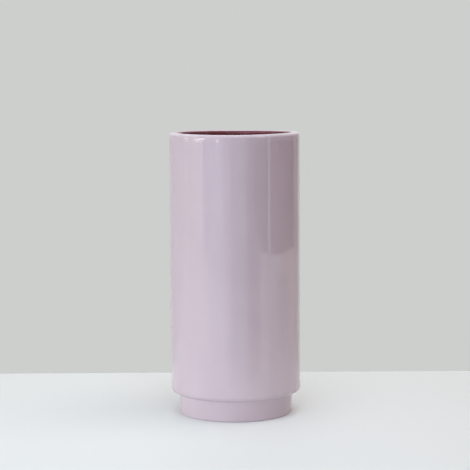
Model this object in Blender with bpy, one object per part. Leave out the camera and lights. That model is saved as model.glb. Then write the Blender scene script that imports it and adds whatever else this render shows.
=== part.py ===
"""Cased-glass cylinder vase with a thick, softly squared lip and a narrower applied foot.

Three turned pieces on the Z axis, as they are made:
  outer_casing  the lilac outer gather, which also wraps over the lip
  inner_lining  the burgundy inner gather, from the colour line inside the lip to the inner floor
  foot          the lilac disc foot, hollowed underneath so that it rests on a ring

Metres, +Z up. The origin is the centre of the ring that the vase stands on.
"""
import math

import bmesh
import bpy

# Driving dimensions
HEIGHT = 0.300                # rest ring to the crest of the lip
BODY_RADIUS = 0.0695          # outside of the straight cylinder
WALL = 0.0095                 # both layers together, and the width of the lip
FOOT_RADIUS = 0.0605
FOOT_HEIGHT = 0.0226          # rest ring to the underside of the body
LOWER_EDGE_RADIUS = 0.005     # rounded edge at the bottom of the body
CASING_FLOOR = 0.006          # thickness of the outer casing over the foot
LINING_FLOOR = 0.005          # thickness of the inner lining's floor
INNER_CORNER_RADIUS = 0.010   # where the inside wall runs into the inner floor
LIP_OUTER_EDGE_RADIUS = 0.0024
LIP_INNER_EDGE_RADIUS = 0.0018
LIP_DOME_RADIUS = 0.012       # the lip's top is almost flat, slightly domed between its two edges
COLOUR_LINE_DEPTH = 0.001     # how far below the crest the burgundy starts
LAYER_SHOULDER_DEPTH = 0.0045 # how far below the crest the joint between the layers turns to the bore
REST_RING_INNER_RADIUS = 0.048
FOOT_HOLLOW_DEPTH = 0.003     # depth of the shallow dome under the foot, at its centre
FOOT_TOP_EDGE_RADIUS = 0.0006
FOOT_BOTTOM_EDGE_RADIUS = 0.0015
GAP = 0.0003                  # between two layers that are fused on the real vase

# How finely the turned shapes are cut
SIDES = 72
ARC_STEP = math.radians(15)
SHARP_ANGLE = math.radians(40)
WELD_DISTANCE = 1e-6

# Worked out from the driving dimensions
LIP_MIDDLE = BODY_RADIUS - WALL / 2
BORE_RADIUS = BODY_RADIUS - WALL
CASING_BORE_RADIUS = LIP_MIDDLE
LINING_OUTER_RADIUS = CASING_BORE_RADIUS - GAP
CASING_FLOOR_TOP = FOOT_HEIGHT + CASING_FLOOR
LINING_UNDERSIDE = CASING_FLOOR_TOP + GAP
INNER_FLOOR = LINING_UNDERSIDE + LINING_FLOOR
LINING_OUTER_CORNER_RADIUS = INNER_CORNER_RADIUS + LINING_OUTER_RADIUS - BORE_RADIUS
CASING_INNER_CORNER_RADIUS = LINING_OUTER_CORNER_RADIUS + GAP


def arc(centre, radius, start, end):
    """Points (r, z) on an arc; angles in radians, anticlockwise from the direction away from the axis."""
    steps = max(2, round(abs(end - start) / ARC_STEP))
    angles = [start + (end - start) * i / steps for i in range(steps + 1)]
    return [(centre[0] + radius * math.cos(a), centre[1] + radius * math.sin(a)) for a in angles]


def lip_edge(edge_radius, side):
    """The centre of a rounded edge of the lip, tangent to the dome and to the wall, and how far it tilts.

    side is 1 for the outer edge and -1 for the inner one.
    """
    reach = WALL / 2 - edge_radius
    tilt = math.asin(reach / (LIP_DOME_RADIUS - edge_radius))
    height = HEIGHT - LIP_DOME_RADIUS + (LIP_DOME_RADIUS - edge_radius) * math.cos(tilt)
    return (LIP_MIDDLE + side * reach, height), tilt


def colour_line():
    """Where the burgundy starts on the lip's inner edge: the edge's centre, the angle round it and the point."""
    centre, tilt = lip_edge(LIP_INNER_EDGE_RADIUS, -1)
    angle = math.pi - math.asin((HEIGHT - COLOUR_LINE_DEPTH - centre[1]) / LIP_INNER_EDGE_RADIUS)
    point = (centre[0] + LIP_INNER_EDGE_RADIUS * math.cos(angle), HEIGHT - COLOUR_LINE_DEPTH)
    return centre, angle, point


def casing_profile():
    """From the middle of the casing's floor up its inside, over the lip, down the outside and under."""
    right, up, down = 0.0, math.pi / 2, -math.pi / 2
    corner = CASING_INNER_CORNER_RADIUS
    edge = LOWER_EDGE_RADIUS
    inner_centre, line_angle, line_point = colour_line()
    inner_tilt = lip_edge(LIP_INNER_EDGE_RADIUS, -1)[1]
    outer_centre, outer_tilt = lip_edge(LIP_OUTER_EDGE_RADIUS, 1)
    dome_centre = (LIP_MIDDLE, HEIGHT - LIP_DOME_RADIUS)
    points = [(0.0, CASING_FLOOR_TOP)]
    points += arc((CASING_BORE_RADIUS - corner, CASING_FLOOR_TOP + corner), corner, down, right)
    points += [(CASING_BORE_RADIUS, HEIGHT - LAYER_SHOULDER_DEPTH), line_point]
    points += arc(inner_centre, LIP_INNER_EDGE_RADIUS, line_angle, up + inner_tilt)[1:-1]
    points += arc(dome_centre, LIP_DOME_RADIUS, up + inner_tilt, up)[:-1]
    points += arc(dome_centre, LIP_DOME_RADIUS, up, up - outer_tilt)[:-1]
    points += arc(outer_centre, LIP_OUTER_EDGE_RADIUS, up - outer_tilt, right)
    points += arc((BODY_RADIUS - edge, FOOT_HEIGHT + edge), edge, right, down)
    points += [(0.0, FOOT_HEIGHT)]
    return points


def lining_profile():
    """From the middle of the inner floor up the bore to the colour line, then down the back and under."""
    right, down, left = 0.0, -math.pi / 2, math.pi
    corner = INNER_CORNER_RADIUS
    back_corner = LINING_OUTER_CORNER_RADIUS
    inner_centre, line_angle, line_point = colour_line()
    shoulder = (CASING_BORE_RADIUS, HEIGHT - LAYER_SHOULDER_DEPTH)
    length = math.dist(shoulder, line_point)
    run = ((line_point[0] - shoulder[0]) / length, (line_point[1] - shoulder[1]) / length)
    moved = (shoulder[0] - GAP * run[1], shoulder[1] + GAP * run[0])
    shoulder_height = moved[1] + run[1] * (LINING_OUTER_RADIUS - moved[0]) / run[0]
    top_angle = line_angle + 1.1 * math.asin(GAP / LIP_INNER_EDGE_RADIUS)
    points = [(0.0, INNER_FLOOR)]
    points += arc((BORE_RADIUS - corner, INNER_FLOOR + corner), corner, down, right)
    points += arc(inner_centre, LIP_INNER_EDGE_RADIUS, left, top_angle)
    points += [(LINING_OUTER_RADIUS, shoulder_height)]
    points += arc(
        (LINING_OUTER_RADIUS - back_corner, LINING_UNDERSIDE + back_corner), back_corner, right, down
    )
    points += [(0.0, LINING_UNDERSIDE)]
    return points


def foot_profile():
    """From the middle of the foot's top out to its rim, down to the rest ring and up under the dome."""
    right, up, down = 0.0, math.pi / 2, -math.pi / 2
    top = FOOT_HEIGHT - GAP
    top_edge = FOOT_TOP_EDGE_RADIUS
    bottom_edge = FOOT_BOTTOM_EDGE_RADIUS
    dome_radius = (REST_RING_INNER_RADIUS**2 + FOOT_HOLLOW_DEPTH**2) / (2 * FOOT_HOLLOW_DEPTH)
    dome_half_angle = math.asin(REST_RING_INNER_RADIUS / dome_radius)
    dome_steps = 6
    points = [(0.0, top)]
    points += arc((FOOT_RADIUS - top_edge, top - top_edge), top_edge, up, right)
    points += arc((FOOT_RADIUS - bottom_edge, bottom_edge), bottom_edge, right, down)
    for i in range(dome_steps + 1):
        angle = dome_half_angle * (1 - i / dome_steps)
        points += [(dome_radius * math.sin(angle), FOOT_HOLLOW_DEPTH - dome_radius * (1 - math.cos(angle)))]
    return points


def glass(name, colour, roughness):
    """An opaque glossy glass."""
    material = bpy.data.materials.new(name)
    material.use_nodes = True
    shader = material.node_tree.nodes["Principled BSDF"]
    shader.inputs["Base Color"].default_value = (*colour, 1.0)
    shader.inputs["Metallic"].default_value = 0.0
    shader.inputs["Roughness"].default_value = roughness
    shader.inputs["IOR"].default_value = 1.5
    return material


def turned(name, profile, material, parent):
    """Turns a profile that starts and ends on the Z axis into one closed solid."""
    shape = bmesh.new()
    corners = [shape.verts.new((r, 0.0, z)) for r, z in profile]
    edges = [shape.edges.new(pair) for pair in zip(corners, corners[1:])]
    bmesh.ops.spin(
        shape,
        geom=corners + edges,
        cent=(0.0, 0.0, 0.0),
        axis=(0.0, 0.0, 1.0),
        angle=math.tau,
        steps=SIDES,
        use_merge=True,
    )
    bmesh.ops.remove_doubles(shape, verts=shape.verts, dist=WELD_DISTANCE)
    bmesh.ops.recalc_face_normals(shape, faces=shape.faces)
    mesh = bpy.data.meshes.new(name)
    shape.to_mesh(mesh)
    shape.free()
    mesh.shade_smooth()
    mesh.set_sharp_from_angle(angle=SHARP_ANGLE)
    mesh.materials.append(material)
    piece = bpy.data.objects.new(name, mesh)
    piece.parent = parent
    bpy.context.scene.collection.objects.link(piece)
    return piece


def build():
    for old in list(bpy.data.objects):
        bpy.data.objects.remove(old, do_unlink=True)
    vase = bpy.data.objects.new("vase", None)
    bpy.context.scene.collection.objects.link(vase)
    lilac = glass("lilac_glass", (0.63, 0.54, 0.61), 0.10)
    burgundy = glass("burgundy_glass", (0.085, 0.011, 0.022), 0.12)
    foot_lilac = glass("foot_lilac_glass", (0.63, 0.54, 0.61), 0.12)
    turned("outer_casing", casing_profile(), lilac, vase)
    turned("inner_lining", lining_profile(), burgundy, vase)
    turned("foot", foot_profile(), foot_lilac, vase)


build()
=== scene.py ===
"""Looks for the cased-glass cylinder vase.

Three turned pieces of glossy opaque glass on a pale floor, with studio cards and lamps round them."""
import math

import bpy
import numpy as np
from mathutils import Matrix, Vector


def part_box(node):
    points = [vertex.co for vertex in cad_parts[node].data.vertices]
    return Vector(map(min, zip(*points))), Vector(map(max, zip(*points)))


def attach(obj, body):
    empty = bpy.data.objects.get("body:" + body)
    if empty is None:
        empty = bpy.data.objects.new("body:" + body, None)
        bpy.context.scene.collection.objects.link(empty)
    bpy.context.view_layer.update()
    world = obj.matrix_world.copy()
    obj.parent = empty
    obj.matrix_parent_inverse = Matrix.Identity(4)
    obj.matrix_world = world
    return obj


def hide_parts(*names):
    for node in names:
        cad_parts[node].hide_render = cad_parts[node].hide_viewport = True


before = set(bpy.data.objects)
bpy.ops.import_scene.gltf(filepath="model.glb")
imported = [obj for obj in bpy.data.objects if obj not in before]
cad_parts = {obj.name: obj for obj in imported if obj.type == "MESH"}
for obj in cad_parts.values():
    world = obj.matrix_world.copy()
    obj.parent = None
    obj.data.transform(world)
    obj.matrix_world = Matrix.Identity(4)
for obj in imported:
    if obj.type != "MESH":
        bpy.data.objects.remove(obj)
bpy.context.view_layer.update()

# ---------------------------------------------------------------- sizes, in metres
BODY_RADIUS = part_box("outer_casing")[1].x
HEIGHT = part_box("outer_casing")[1].z
BODY_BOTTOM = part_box("outer_casing")[0].z
FOOT_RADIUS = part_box("foot")[1].x
LINING_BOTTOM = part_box("inner_lining")[0].z
WALL = 0.0095                    # both glasses together, and the width of the lip
LOWER_EDGE_RADIUS = 0.005
LINING_FLOOR = 0.005             # how thick the burgundy is over the middle of the floor
INNER_CORNER_RADIUS = 0.010
COLOUR_LINE_DEPTH = 0.001        # the burgundy starts this far below the crest
REST_RING_INNER_RADIUS = 0.048
FOOT_HOLLOW_DEPTH = 0.003
FOOT_BOTTOM_EDGE_RADIUS = 0.0014
CREASE_FILLET = 0.0005           # where the foot runs into the body
JOINT_CORNER_RADIUS = 0.0145     # where the joint between the glasses turns up from the floor
HIDDEN_SPACING = 0.02            # between the rings of a joint that is never seen
SEAM = 0.00003                   # between two fused glasses, too fine to see
LIP_OUTER_EDGE_RADIUS = 0.0022
LIP_OUTER_EDGE_DROP = 0.0032     # the outer edge is taller than wide, so the lip's side rounds off slowly
LIP_INNER_EDGE_RADIUS = 0.0018
LIP_DOME_RADIUS = 0.012          # the lip's top is almost flat, slightly domed between its two edges
LAYER_SHOULDER_DEPTH = 0.0045    # how far below the crest the joint between the glasses turns to the bore
ROLL_DEPTH, ROLL_WIDTH = 0.0072, 0.006   # a faint roll under the lip: its middle below the crest, its width
ROLL_HEIGHT = 0.00006
RIM_SADDLE = 0.00040             # the rim is this much lower and higher, twice each on its way round
RIM_BACK_RISE = 0.00027          # it tilts up by this much to the back
RIM_LEFT_RISE = 0.00005          # and by this much to the left
RIM_TURN = math.radians(8.5)     # its lowest point is this far left of the front
RIM_LIFT_START = 0.18            # the rim's unevenness fades in above this height
CALM_RADIUS, CALM_FADE = 0.01, 0.02      # the waviness starts this far out, and fades in over this distance
CALM_HEIGHT = 0.004              # it fades in below this height too, so that the foot stands flat
SHARP_ANGLE = math.radians(50)   # a crease that turns by more than this is shaded sharp

LIP_MIDDLE = BODY_RADIUS - WALL / 2
BORE_RADIUS = BODY_RADIUS - WALL
INNER_FLOOR = LINING_BOTTOM + LINING_FLOOR
SHOULDER = HEIGHT - LAYER_SHOULDER_DEPTH
RIGHT, UP, LEFT, DOWN = 0.0, math.pi / 2, math.pi, -math.pi / 2


def lip_edge(edge_radius, side):
    """A rounded edge of the lip, tangent to its dome and to the wall.

    Gives its centre, and how far the dome tilts where the two meet."""
    reach = WALL / 2 - edge_radius
    tilt = math.asin(reach / (LIP_DOME_RADIUS - edge_radius))
    height = HEIGHT - LIP_DOME_RADIUS + (LIP_DOME_RADIUS - edge_radius) * math.cos(tilt)
    return (LIP_MIDDLE + side * reach, height), tilt


OUTER_EDGE, OUTER_TILT = lip_edge(LIP_OUTER_EDGE_RADIUS, 1)
INNER_EDGE, INNER_TILT = lip_edge(LIP_INNER_EDGE_RADIUS, -1)
COLOUR_LINE_ANGLE = math.pi - math.asin((HEIGHT - COLOUR_LINE_DEPTH - INNER_EDGE[1]) / LIP_INNER_EDGE_RADIUS)
COLOUR_LINE_RADIUS = INNER_EDGE[0] + LIP_INNER_EDGE_RADIUS * math.cos(COLOUR_LINE_ANGLE)

# ---------------------------------------------------------------- turned shapes


def arc(centre, radius, start, end, spacing, tall=None):
    """Points (r, z) on an arc, its angles anticlockwise from straight outwards; tall makes it oval."""
    rise = tall or radius
    steps = max(4, round(abs(end - start) * max(radius, rise) / spacing))
    angles = [start + (end - start) * i / steps for i in range(steps + 1)]
    return [(centre[0] + radius * math.cos(a), centre[1] + rise * math.sin(a)) for a in angles]


def line(start, end, spacing):
    """Points (r, z) between two points, without either of them."""
    steps = max(1, round(math.dist(start, end) / spacing))
    return [
        (start[0] + (end[0] - start[0]) * i / steps, start[1] + (end[1] - start[1]) * i / steps)
        for i in range(1, steps)
    ]


def joined(*stretches, spacing=0.003):
    """One profile from several stretches, with points along the straight runs between them."""
    points = list(stretches[0])
    for stretch in stretches[1:]:
        points += line(points[-1], stretch[0], spacing)
        points += stretch
    return points


class Ripple:
    """The faint waviness of hand-finished glass: a sum of long waves round and along the vase."""

    waves = 22
    most_turns = 12
    shortest, longest = 0.035, 0.16

    def __init__(self, seed, slope):
        draw = np.random.RandomState(seed)
        self.turns = draw.randint(0, self.most_turns + 1, self.waves)
        self.length = draw.uniform(self.shortest, self.longest, self.waves)
        self.phase = draw.uniform(0, 2 * math.pi, self.waves)
        self.side = draw.choice([-1.0, 1.0], self.waves)
        steepness = np.hypot(self.turns / BODY_RADIUS, 2 * math.pi / self.length)
        self.height = slope * math.sqrt(2 / self.waves) / steepness

    def at(self, angle, z):
        total = np.zeros(np.broadcast(angle, z).shape)
        drawn = zip(self.turns, self.length, self.phase, self.side, self.height)
        for turns, length, phase, side, height in drawn:
            total += height * np.sin(turns * angle + side * 2 * math.pi * z / length + phase)
        return total


def rim_lift(angle, z):
    """The rim isn't quite level: it dips by 0.6 mm at the front and rises by 0.4 mm at the sides."""
    saddle = RIM_SADDLE * np.cos(2 * (angle + RIM_TURN))
    height = saddle + RIM_BACK_RISE * np.sin(angle) - RIM_LEFT_RISE * np.cos(angle)
    share = np.clip((z - RIM_LIFT_START) / (HEIGHT - RIM_LIFT_START), 0, 1)
    return height * share**2 * (3 - 2 * share)


def lip_roll(radius, z):
    """How far the outside stands out in the faint roll left under the lip where it was turned over."""
    across = np.clip((z - (HEIGHT - ROLL_DEPTH)) / (ROLL_WIDTH / 2), -1, 1)
    return np.where(radius > LIP_MIDDLE, ROLL_HEIGHT * np.cos(across * math.pi / 2) ** 2, 0.0)


def turned(name, profile, sides, ripple):
    """A closed solid turned about the Z axis, rippled along its normals.

    Its profile starts and ends on the axis."""
    points = np.array(profile)
    rings = points[1:-1]
    along = np.gradient(rings, axis=0)
    normal = np.stack([-along[:, 1], along[:, 0]], 1)
    normal /= np.linalg.norm(normal, axis=1)[:, None]
    angle = np.arange(sides) * 2 * math.pi / sides
    away = np.clip((rings[:, 0] - CALM_RADIUS) / CALM_FADE, 0, 1)
    fade = away * np.clip(rings[:, 1] / CALM_HEIGHT, 0, 1)
    offset = ripple.at(angle[None, :], rings[:, 1][:, None]) * fade[:, None]
    offset = offset + lip_roll(rings[:, 0], rings[:, 1])[:, None]
    radius = rings[:, 0][:, None] + normal[:, 0][:, None] * offset
    height = rings[:, 1][:, None] + normal[:, 1][:, None] * offset
    height = height + rim_lift(angle[None, :], rings[:, 1][:, None])
    grid = np.stack([radius * np.cos(angle), radius * np.sin(angle), height], -1).reshape(-1, 3)
    vertices = np.vstack([grid, [[0, 0, points[0, 1]]], [[0, 0, points[-1, 1]]]])
    first_pole, last_pole = len(grid), len(grid) + 1
    faces = []
    for i in range(len(rings) - 1):
        for j in range(sides):
            k = (j + 1) % sides
            faces.append((i * sides + j, (i + 1) * sides + j, (i + 1) * sides + k, i * sides + k))
    for j in range(sides):
        k = (j + 1) % sides
        faces.append((first_pole, j, k))
        faces.append((last_pole, (len(rings) - 1) * sides + k, (len(rings) - 1) * sides + j))
    mesh = bpy.data.meshes.new(name)
    mesh.from_pydata(vertices.tolist(), [], faces)
    mesh.validate()
    mesh.shade_smooth()
    mesh.set_sharp_from_angle(angle=SHARP_ANGLE)
    piece = bpy.data.objects.new(name, mesh)
    bpy.context.scene.collection.objects.link(piece)
    return piece


def casing_profile():
    """The outer glass: out under the lining, up the joint, over the lip, down the outside, in underneath."""
    floor = LINING_BOTTOM - SEAM
    corner = JOINT_CORNER_RADIUS
    edge = LOWER_EDGE_RADIUS
    dome = (LIP_MIDDLE, HEIGHT - LIP_DOME_RADIUS)
    sunk = (LIP_OUTER_EDGE_DROP - LIP_OUTER_EDGE_RADIUS) * math.cos(OUTER_TILT)
    oval = (OUTER_EDGE[0], OUTER_EDGE[1] - sunk)
    return joined(
        [(0.0, floor)],
        arc((LIP_MIDDLE - corner, floor + corner), corner, DOWN, RIGHT, spacing=0.003),
        line((LIP_MIDDLE, floor + corner), (LIP_MIDDLE, SHOULDER), HIDDEN_SPACING),
        [(LIP_MIDDLE, SHOULDER)],
        arc(INNER_EDGE, LIP_INNER_EDGE_RADIUS, COLOUR_LINE_ANGLE, UP + INNER_TILT, spacing=0.0003)[:-1],
        arc(dome, LIP_DOME_RADIUS, UP + INNER_TILT, UP - OUTER_TILT, spacing=0.0004)[:-1],
        arc(oval, LIP_OUTER_EDGE_RADIUS, UP - OUTER_TILT, RIGHT, spacing=0.0003, tall=LIP_OUTER_EDGE_DROP),
        line((BODY_RADIUS, oval[1]), (BODY_RADIUS, HEIGHT - ROLL_DEPTH - ROLL_WIDTH / 2), spacing=0.0004),
        arc((BODY_RADIUS - edge, BODY_BOTTOM + edge), edge, RIGHT, DOWN, spacing=0.0005),
        [(0.0, BODY_BOTTOM)],
    )


def lining_profile():
    """The inner glass: out over the inner floor, up the bore to the colour line, and back down the joint."""
    outside = LIP_MIDDLE - SEAM
    corner = INNER_CORNER_RADIUS
    back_corner = JOINT_CORNER_RADIUS
    top = COLOUR_LINE_ANGLE + SEAM / LIP_INNER_EDGE_RADIUS
    return joined(
        [(0.0, INNER_FLOOR)],
        arc((BORE_RADIUS - corner, INNER_FLOOR + corner), corner, DOWN, RIGHT, spacing=0.001),
        arc(INNER_EDGE, LIP_INNER_EDGE_RADIUS, LEFT, top, spacing=0.0003),
        [(outside, SHOULDER - 2 * SEAM)],
        line((outside, SHOULDER), (outside, LINING_BOTTOM + back_corner), HIDDEN_SPACING),
        arc((outside - back_corner, LINING_BOTTOM + back_corner), back_corner, RIGHT, DOWN, spacing=0.003),
        [(0.0, LINING_BOTTOM)],
        spacing=0.004,
    )


def foot_profile():
    """The foot: out under the body, through the crease, down its side, in over the ring and the hollow."""
    top = BODY_BOTTOM - SEAM
    fillet = CREASE_FILLET
    edge = FOOT_BOTTOM_EDGE_RADIUS
    dome_radius = (REST_RING_INNER_RADIUS**2 + FOOT_HOLLOW_DEPTH**2) / (2 * FOOT_HOLLOW_DEPTH)
    half_angle = math.asin(REST_RING_INNER_RADIUS / dome_radius)
    hollow = arc((0.0, FOOT_HOLLOW_DEPTH - dome_radius), dome_radius, UP - half_angle, UP, spacing=0.002)
    return joined(
        [(0.0, top)],
        arc((FOOT_RADIUS + fillet, top - fillet), fillet, UP, LEFT, spacing=0.0001),
        arc((FOOT_RADIUS - edge, edge), edge, RIGHT, DOWN, spacing=0.0002),
        hollow[:-1],
        [(0.0, FOOT_HOLLOW_DEPTH)],
    )


casing = turned("casing_glass", casing_profile(), 240, Ripple(seed=3, slope=0.004))
lining = turned("lining_glass", lining_profile(), 160, Ripple(seed=11, slope=0.006))
foot = turned("foot_glass", foot_profile(), 160, Ripple(seed=5, slope=0.003))

# ---------------------------------------------------------------- materials
LILAC = (0.603, 0.517, 0.582)
LILAC_DEEP = (0.586, 0.496, 0.566)
LILAC_STREAK = (0.615, 0.532, 0.594)
LILAC_FOOT_PAINTED_SHADE = (0.578, 0.488, 0.545)       # the lilac made darker for the foot: painted shade, as the foot stands in shadow under the body
LILAC_THIN = (0.310, 0.120, 0.165)       # where the burgundy shows through at the colour line
LILAC_GROUND = (0.690, 0.640, 0.680)     # the ground ring under the foot
BURGUNDY = (0.128, 0.010, 0.022)
BURGUNDY_DEEP = (0.100, 0.012, 0.021)
BURGUNDY_STREAK = (0.170, 0.026, 0.040)
GLASS_IOR = 1.70
CASING_POLISH, OTHER_POLISH = 0.02, 0.03         # the roughness of clean glass
SMUDGE = 0.02                                    # how much rougher it is where it is smudged
DIMPLE_HEIGHT = 0.00003
THIN_GLASS_START = COLOUR_LINE_RADIUS + 0.0032   # the casing thins from here inwards
THIN_GLASS_END = COLOUR_LINE_RADIUS - 0.0002
THIN_GLASS_SHARE = 0.95
THIN_GLASS_UNEVEN = 0.0016
LIP_COLOUR_LOW, LIP_COLOUR_HIGH = 0.008, 0.004   # only at the lip: it fades in between these depths
GROUND_TOP, GROUND_FULL = 0.00045, 0.00015       # the foot's ground ring fades in between these heights
GROUND_ROUGHNESS = 0.4                           # more than the polished glass


class Nodes:
    """A small helper around one material's node tree."""

    def __init__(self, name):
        self.material = bpy.data.materials.new(name)
        self.material.use_nodes = True
        self.tree = self.material.node_tree
        self.shader = self.tree.nodes["Principled BSDF"]

    def add(self, kind, **settings):
        node = self.tree.nodes.new(kind)
        for key, value in settings.items():
            if key in node.inputs:
                node.inputs[key].default_value = value
            else:
                setattr(node, key, value)
        return node

    def link(self, source, target):
        self.tree.links.new(source, target)

    def object_place(self, stretch):
        """Object coordinates, scaled along the axes: below 1 draws a pattern out along that axis."""
        place = self.add("ShaderNodeTexCoord")
        mapping = self.add("ShaderNodeMapping")
        mapping.inputs["Scale"].default_value = stretch
        self.link(place.outputs["Object"], mapping.inputs["Vector"])
        return mapping.outputs["Vector"]

    def noise(self, scale, detail=3.0, stretch=(1.0, 1.0, 1.0), roughness=0.5):
        texture = self.add("ShaderNodeTexNoise", Scale=scale, Detail=detail, Roughness=roughness)
        self.link(self.object_place(stretch), texture.inputs["Vector"])
        return texture.outputs["Fac"]

    def spread(self, value, low, high, to_low=0.0, to_high=1.0):
        """A value between low and high, spread over another range with soft ends."""
        node = self.add("ShaderNodeMapRange", interpolation_type="SMOOTHSTEP")
        node.inputs["From Min"].default_value = low
        node.inputs["From Max"].default_value = high
        node.inputs["To Min"].default_value = to_low
        node.inputs["To Max"].default_value = to_high
        self.link(value, node.inputs["Value"])
        return node.outputs["Result"]

    def maths(self, operation, first, second):
        node = self.add("ShaderNodeMath", operation=operation)
        for socket, value in zip(node.inputs, (first, second)):
            if isinstance(value, (int, float)):
                socket.default_value = value
            else:
                self.link(value, socket)
        return node.outputs["Value"]

    def mixed(self, share, first, second):
        """A colour between two others, each a tuple or a socket."""
        node = self.add("ShaderNodeMix", data_type="RGBA")
        factor, colours, result = node.inputs[0], node.inputs[6:8], node.outputs[2]
        self.link(share, factor)
        for socket, value in zip(colours, (first, second)):
            if isinstance(value, tuple):
                socket.default_value = (*value, 1)
            else:
                self.link(value, socket)
        return result

    def from_axis(self):
        """The distance from the vase's axis, and the height."""
        place = self.add("ShaderNodeTexCoord")
        parts = self.add("ShaderNodeSeparateXYZ")
        self.link(place.outputs["Object"], parts.inputs["Vector"])
        x, y, z = parts.outputs
        squares = self.maths("ADD", self.maths("MULTIPLY", x, x), self.maths("MULTIPLY", y, y))
        return self.maths("SQRT", squares, 0.0), z

    def bump(self, height, distance):
        node = self.add("ShaderNodeBump", Strength=1.0, Distance=distance)
        self.link(height, node.inputs["Height"])
        self.link(node.outputs["Normal"], self.shader.inputs["Normal"])

    def finished(self, colour, roughness):
        self.link(colour, self.shader.inputs["Base Color"])
        self.link(roughness, self.shader.inputs["Roughness"])
        return self.material


def glass_body(n, colour, deep, streak, polish):
    """Opaque glass: slow clouds, faint streaks drawn out up the wall, fine grain, smudges and faint dimples.

    Gives its colour and its roughness."""
    clouds = n.spread(n.noise(16.0), 0.35, 0.65)
    streaks = n.spread(n.noise(60.0, detail=4.0, stretch=(1.0, 1.0, 0.10)), 0.50, 0.75, to_high=0.55)
    grain = n.spread(n.noise(900.0, detail=2.0), 0.40, 0.70, to_high=0.10)
    base = n.mixed(clouds, deep, colour)
    base = n.mixed(streaks, base, streak)
    base = n.mixed(grain, base, deep)
    smudges = n.noise(38.0, detail=5.0, stretch=(1.0, 1.0, 0.6), roughness=0.6)
    gloss = n.spread(smudges, 0.42, 0.68, polish, polish + SMUDGE)
    n.bump(n.noise(85.0, detail=2.0, stretch=(1.0, 1.0, 0.5)), DIMPLE_HEIGHT)
    n.shader.inputs["IOR"].default_value = GLASS_IOR
    return base, gloss


def lilac_glass():
    """The casing: near the colour line it thins out, and the burgundy under it shows pink."""
    n = Nodes("lilac_glass")
    base, gloss = glass_body(n, LILAC, LILAC_DEEP, LILAC_STREAK, CASING_POLISH)
    radius, height = n.from_axis()
    uneven = n.maths("MULTIPLY", n.maths("SUBTRACT", n.noise(70.0), 0.5), THIN_GLASS_UNEVEN)
    inwards = n.maths("ADD", radius, uneven)
    thin = n.spread(inwards, THIN_GLASS_START, THIN_GLASS_END, to_high=THIN_GLASS_SHARE)
    at_lip = n.spread(height, HEIGHT - LIP_COLOUR_LOW, HEIGHT - LIP_COLOUR_HIGH)
    base = n.mixed(n.maths("MULTIPLY", thin, at_lip), base, LILAC_THIN)
    return n.finished(base, gloss)


def burgundy_glass():
    n = Nodes("burgundy_glass")
    return n.finished(*glass_body(n, BURGUNDY, BURGUNDY_DEEP, BURGUNDY_STREAK, OTHER_POLISH))


def foot_lilac_glass():
    """The foot: the lilac darkened with painted shade, with a paler, matt ring where it was ground flat."""
    n = Nodes("foot_lilac_glass")
    # the foot's base colour is darkened: painted shade from under the body's overhang
    base, gloss = glass_body(n, LILAC_FOOT_PAINTED_SHADE, LILAC_DEEP, LILAC, OTHER_POLISH)
    radius, height = n.from_axis()
    ground = n.spread(height, GROUND_TOP, GROUND_FULL)
    scuffs = n.spread(n.noise(420.0, detail=4.0), 0.45, 0.70)
    pale = n.maths("MULTIPLY", ground, n.maths("ADD", 0.6, n.maths("MULTIPLY", scuffs, 0.4)))
    base = n.mixed(pale, base, LILAC_GROUND)
    return n.finished(base, n.maths("ADD", gloss, n.maths("MULTIPLY", ground, GROUND_ROUGHNESS)))


casing.data.materials.append(lilac_glass())
lining.data.materials.append(burgundy_glass())
foot.data.materials.append(foot_lilac_glass())

for piece, node, slot in (
    (casing, "outer_casing", "lilac_glass"),
    (lining, "inner_lining", "burgundy_glass"),
    (foot, "foot", "foot_lilac_glass"),
):
    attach(piece, "root")
    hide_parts(node)

# ---------------------------------------------------------------- stage
TABLE_FRONT, TABLE_BACK, TABLE_LEFT, TABLE_RIGHT = 0.27, 0.214, 1.7, 1.25
TABLE_WHITE, TABLE_ROUGHNESS = (0.690, 0.710, 0.715), 0.55
WALL_GREY = (0.610, 0.622, 0.612)
NEUTRAL = (1.0, 1.0, 1.0)
OVERHEAD_COOL, OVERHEAD_WARM, OVERHEAD_GREEN = (0.90, 1.0, 1.11), (1.15, 1.0, 0.8), (0.94, 1.02, 1.0)
STAGE_SPECULAR = 0.3
LIT_FROM, GLOSS_FROM, LAMPS_FROM = 1.75, 1.6, 1.58       # how far from the axis the cards stand
CARD_STEP = 3                    # degrees between the edges of a curved card's flat parts
BELOW = -0.75                    # the bottom of the room, under the level of the table
BAND, LIT_TOP = 0.3, 1.0         # the heights between the low and high lighting cards, and above them
OVERHEAD_HEIGHT, OVERHEAD_SIZE = 1.6, 0.8


def plain(name, colour, roughness):
    n = Nodes(name)
    n.shader.inputs["Base Color"].default_value = (*colour, 1)
    n.shader.inputs["Roughness"].default_value = roughness
    n.shader.inputs["Specular IOR Level"].default_value = STAGE_SPECULAR
    return n.material


def glowing(name, colour, strength):
    n = Nodes(name)
    n.shader.inputs["Base Color"].default_value = (0, 0, 0, 1)
    n.shader.inputs["Specular IOR Level"].default_value = 0.0
    n.shader.inputs["Emission Color"].default_value = (*colour, 1)
    n.shader.inputs["Emission Strength"].default_value = strength
    return n.material


def flat_mesh(name, corners, faces, material):
    mesh = bpy.data.meshes.new(name)
    mesh.from_pydata(corners, [], faces)
    mesh.materials.append(material)
    made = bpy.data.objects.new(name, mesh)
    bpy.context.scene.collection.objects.link(made)
    return made


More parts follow.
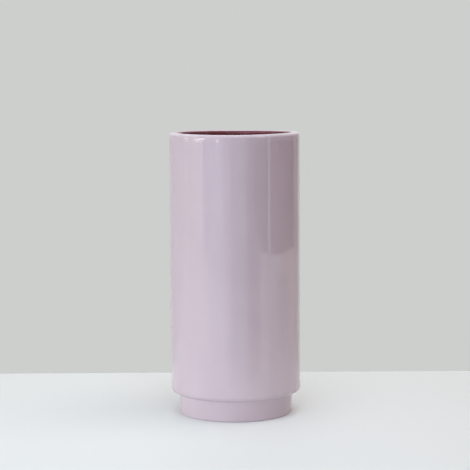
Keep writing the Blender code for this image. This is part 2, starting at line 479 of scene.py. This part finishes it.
def screen(name, start, end, low, high, radius, colour, strength, reflected):
    """A curved studio card round the vase, unseen by the camera, from one angle and height to another.

    Angles are in degrees: 0 is the camera's side, 90 its right. A reflected card only shows in the gloss,
    any other one only lights the surfaces."""
    steps = max(1, round(abs(end - start) / CARD_STEP))
    corners = []
    for i in range(steps + 1):
        angle = math.radians(start + (end - start) * i / steps)
        x, y = radius * math.sin(angle), -radius * math.cos(angle)
        corners += [(x, y, low), (x, y, high)]
    faces = [(2 * i, 2 * i + 1, 2 * i + 3, 2 * i + 2) for i in range(steps)]
    made = flat_mesh(name, corners, faces, glowing(name, colour, strength))
    made.visible_camera = False
    made.visible_shadow = False
    made.visible_glossy = reflected
    made.visible_diffuse = not reflected


def overhead(name, x, y, power, colour, casts_shadow):
    """A square lamp over the table, facing down; one without a shadow stands in for light from all sides."""
    data = bpy.data.lights.new(name, "AREA")
    data.size = OVERHEAD_SIZE
    data.energy = power
    data.color = colour
    data.use_shadow = casts_shadow
    light = bpy.data.objects.new(name, data)
    light.location = (x, y, OVERHEAD_HEIGHT)
    light.visible_camera = False
    light.visible_glossy = False
    bpy.context.scene.collection.objects.link(light)


table_corners = [
    (-TABLE_LEFT, -TABLE_FRONT, 0),
    (TABLE_RIGHT, -TABLE_FRONT, 0),
    (TABLE_RIGHT, TABLE_BACK, 0),
    (-TABLE_LEFT, TABLE_BACK, 0),
]
flat_mesh("floor", table_corners, [(0, 1, 2, 3)], plain("floor_white", TABLE_WHITE, TABLE_ROUGHNESS))

# Cards that light the surfaces, each in a low and a high band
for name, start, end, colour, low_strength, high_strength in (
    ("key_back_left", -180, -100, (1.0, 0.95, 0.82), 0.95, 2.10),
    ("key_left", -100, -45, (0.98, 1.0, 0.96), 1.75, 2.75),
    ("key_front_left", -45, -15, (0.95, 1.0, 1.12), 1.80, 2.50),
    ("key_front", -15, 10, (1.05, 0.92, 1.04), 1.50, 2.05),
    ("warm_front", 10, 50, (1.0, 0.45, 0.40), 0.24, 0.30),
    ("warm_right", 50, 100, (1.0, 0.0, 0.0), 0.20, 0.05),
    ("warm_back_right", 100, 180, (1.0, 0.70, 0.65), 1.20, 1.25),
):
    screen(name + "_low", start, end, 0.0, BAND, LIT_FROM, colour, low_strength, reflected=False)
    screen(name + "_high", start, end, BAND, LIT_TOP, LIT_FROM, colour, high_strength, reflected=False)
# Cards that show only in the gloss: the walls and windows of a room, down to below the table
for name, start, end, low, high, colour, strength in (
    ("upper_room", -180, 180, 0.6, 2.4, NEUTRAL, 0.72),
    ("wall_behind", -180, -145, BELOW, 0.6, NEUTRAL, 0.60),
    ("wall_behind_left", -145, -112, BELOW, 0.6, (1.0, 0.95, 1.03), 0.54),
    ("wall_back_left", -112, -95, BELOW, 0.6, NEUTRAL, 0.58),
    ("wall_left", -95, -77, BELOW, 0.6, (1.0, 1.04, 0.96), 0.82),
    ("bright_wall_side", -77, -68, BELOW, 0.6, (1.0, 1.03, 0.97), 1.03),
    ("bright_wall", -68, -56, 0.0, 0.6, (1.0, 1.02, 1.03), 1.32),
    ("bright_wall_foot", -68, -46, BELOW, 0.0, (1.02, 1.02, 1.0), 1.20),
    ("wall_gap", -56, -44, 0.0, 0.6, (0.97, 1.02, 1.12), 0.88),
    ("window_side", -44, -33, 0.0, 0.6, (0.93, 0.98, 1.20), 1.10),
    ("window_side_low", -46, -33, BELOW, 0.0, (0.96, 0.98, 1.13), 1.16),
    ("window", -33, -20, 0.04, 0.6, (0.95, 0.98, 1.25), 1.36),
    ("window_sill", -33, -20, BELOW, 0.04, (0.95, 1.0, 1.15), 1.20),
    ("dim_wall", -20, -8, BELOW, 0.6, (0.93, 1.02, 1.15), 1.0),
    ("dusk_wall", -8, 20, BELOW, 0.6, (0.86, 1.0, 1.10), 0.66),
    ("dusk_edge", 20, 33, 0.04, 0.6, NEUTRAL, 0.26),
    ("low_front", 20, 44, BELOW, 0.03, (0.98, 1.02, 1.0), 0.36),
    ("low_right", 44, 90, BELOW, 0.0, (1.03, 1.0, 0.96), 0.84),
    ("low_far_right", 90, 124, BELOW, 0.0, (1.05, 1.0, 0.94), 0.66),
    ("strip_light", 58.9, 63.3, 0.0, 0.6, NEUTRAL, 0.8),
    ("dim_right", 33, 124, 0.26, 0.6, NEUTRAL, 0.30),
    ("wall_back_right", 124, 145, 0.0, 0.6, (0.98, 1.05, 0.97), 0.42),
    ("wall_back_right_low", 124, 145, BELOW, 0.0, (0.98, 1.05, 0.97), 0.55),
    ("wall_behind_right", 145, 180, BELOW, 0.6, (0.96, 1.03, 1.0), 0.72),
):
    screen(name, start, end, low, high, GLOSS_FROM, colour, strength, reflected=True)
# Small lamps, which make the highlights under the lip and on the right side
for name, start, end, low, high, strength in (
    ("lamp_left", -96, -89, 0.230, 0.256, 4.5),
    ("lamp_middle", -71, -63, 0.262, 0.300, 7.5),
    ("lamp_middle_low", -63, -51, 0.230, 0.262, 9.0),
    ("lamp_front", -31.5, -27.5, 0.262, 0.300, 7.0),
    ("lamp_right", 76.6, 79.2, 0.207, 0.219, 2.4),
):
    screen(name, start, end, low, high, LAMPS_FROM, NEUTRAL, strength, reflected=True)
# Lamps overhead, which light the table, the lip and the inside
for name, x, y, power, colour, casts_shadow in (
    ("overhead", 0.15, -0.10, 7.5, OVERHEAD_COOL, True),
    ("overhead_soft", 0.0, -0.05, 6.5, OVERHEAD_COOL, False),
    ("overhead_right", 0.8, -0.05, 6.0, OVERHEAD_WARM, True),
    ("overhead_front", 0.0, -0.65, 7.5, OVERHEAD_GREEN, True),
    ("overhead_front_soft", 0.0, -0.65, 6.5, OVERHEAD_GREEN, False),
):
    overhead(name, x, y, power, colour, casts_shadow)

# The world is the wall behind the table; only the camera sees it
world = bpy.data.worlds.new("wall_grey")
world.use_nodes = True
world.node_tree.nodes["Background"].inputs["Color"].default_value = (*WALL_GREY, 1)
world.node_tree.nodes["Background"].inputs["Strength"].default_value = 1.0
bpy.context.scene.world = world
world.cycles_visibility.diffuse = False
world.cycles_visibility.glossy = False

# ---------------------------------------------------------------- camera
CAMERA_PLACE = (0.0, -1.635, 0.358)
LOOKS_DOWN, LEANS = math.radians(5.857), math.radians(-0.326)
LENS, SENSOR_WIDTH = 117.8, 36.0         # in millimetres

camera_data = bpy.data.cameras.new("camera")
camera_data.lens = LENS
camera_data.sensor_width = SENSOR_WIDTH
camera = bpy.data.objects.new("camera", camera_data)
pitch = Matrix.Rotation(math.radians(90) - LOOKS_DOWN, 4, "X")
roll = Matrix.Rotation(LEANS, 4, "Z")
camera.matrix_world = Matrix.Translation(CAMERA_PLACE) @ pitch @ roll
bpy.context.scene.collection.objects.link(camera)
bpy.context.scene.camera = camera
bpy.context.scene.view_settings.view_transform = "Standard"
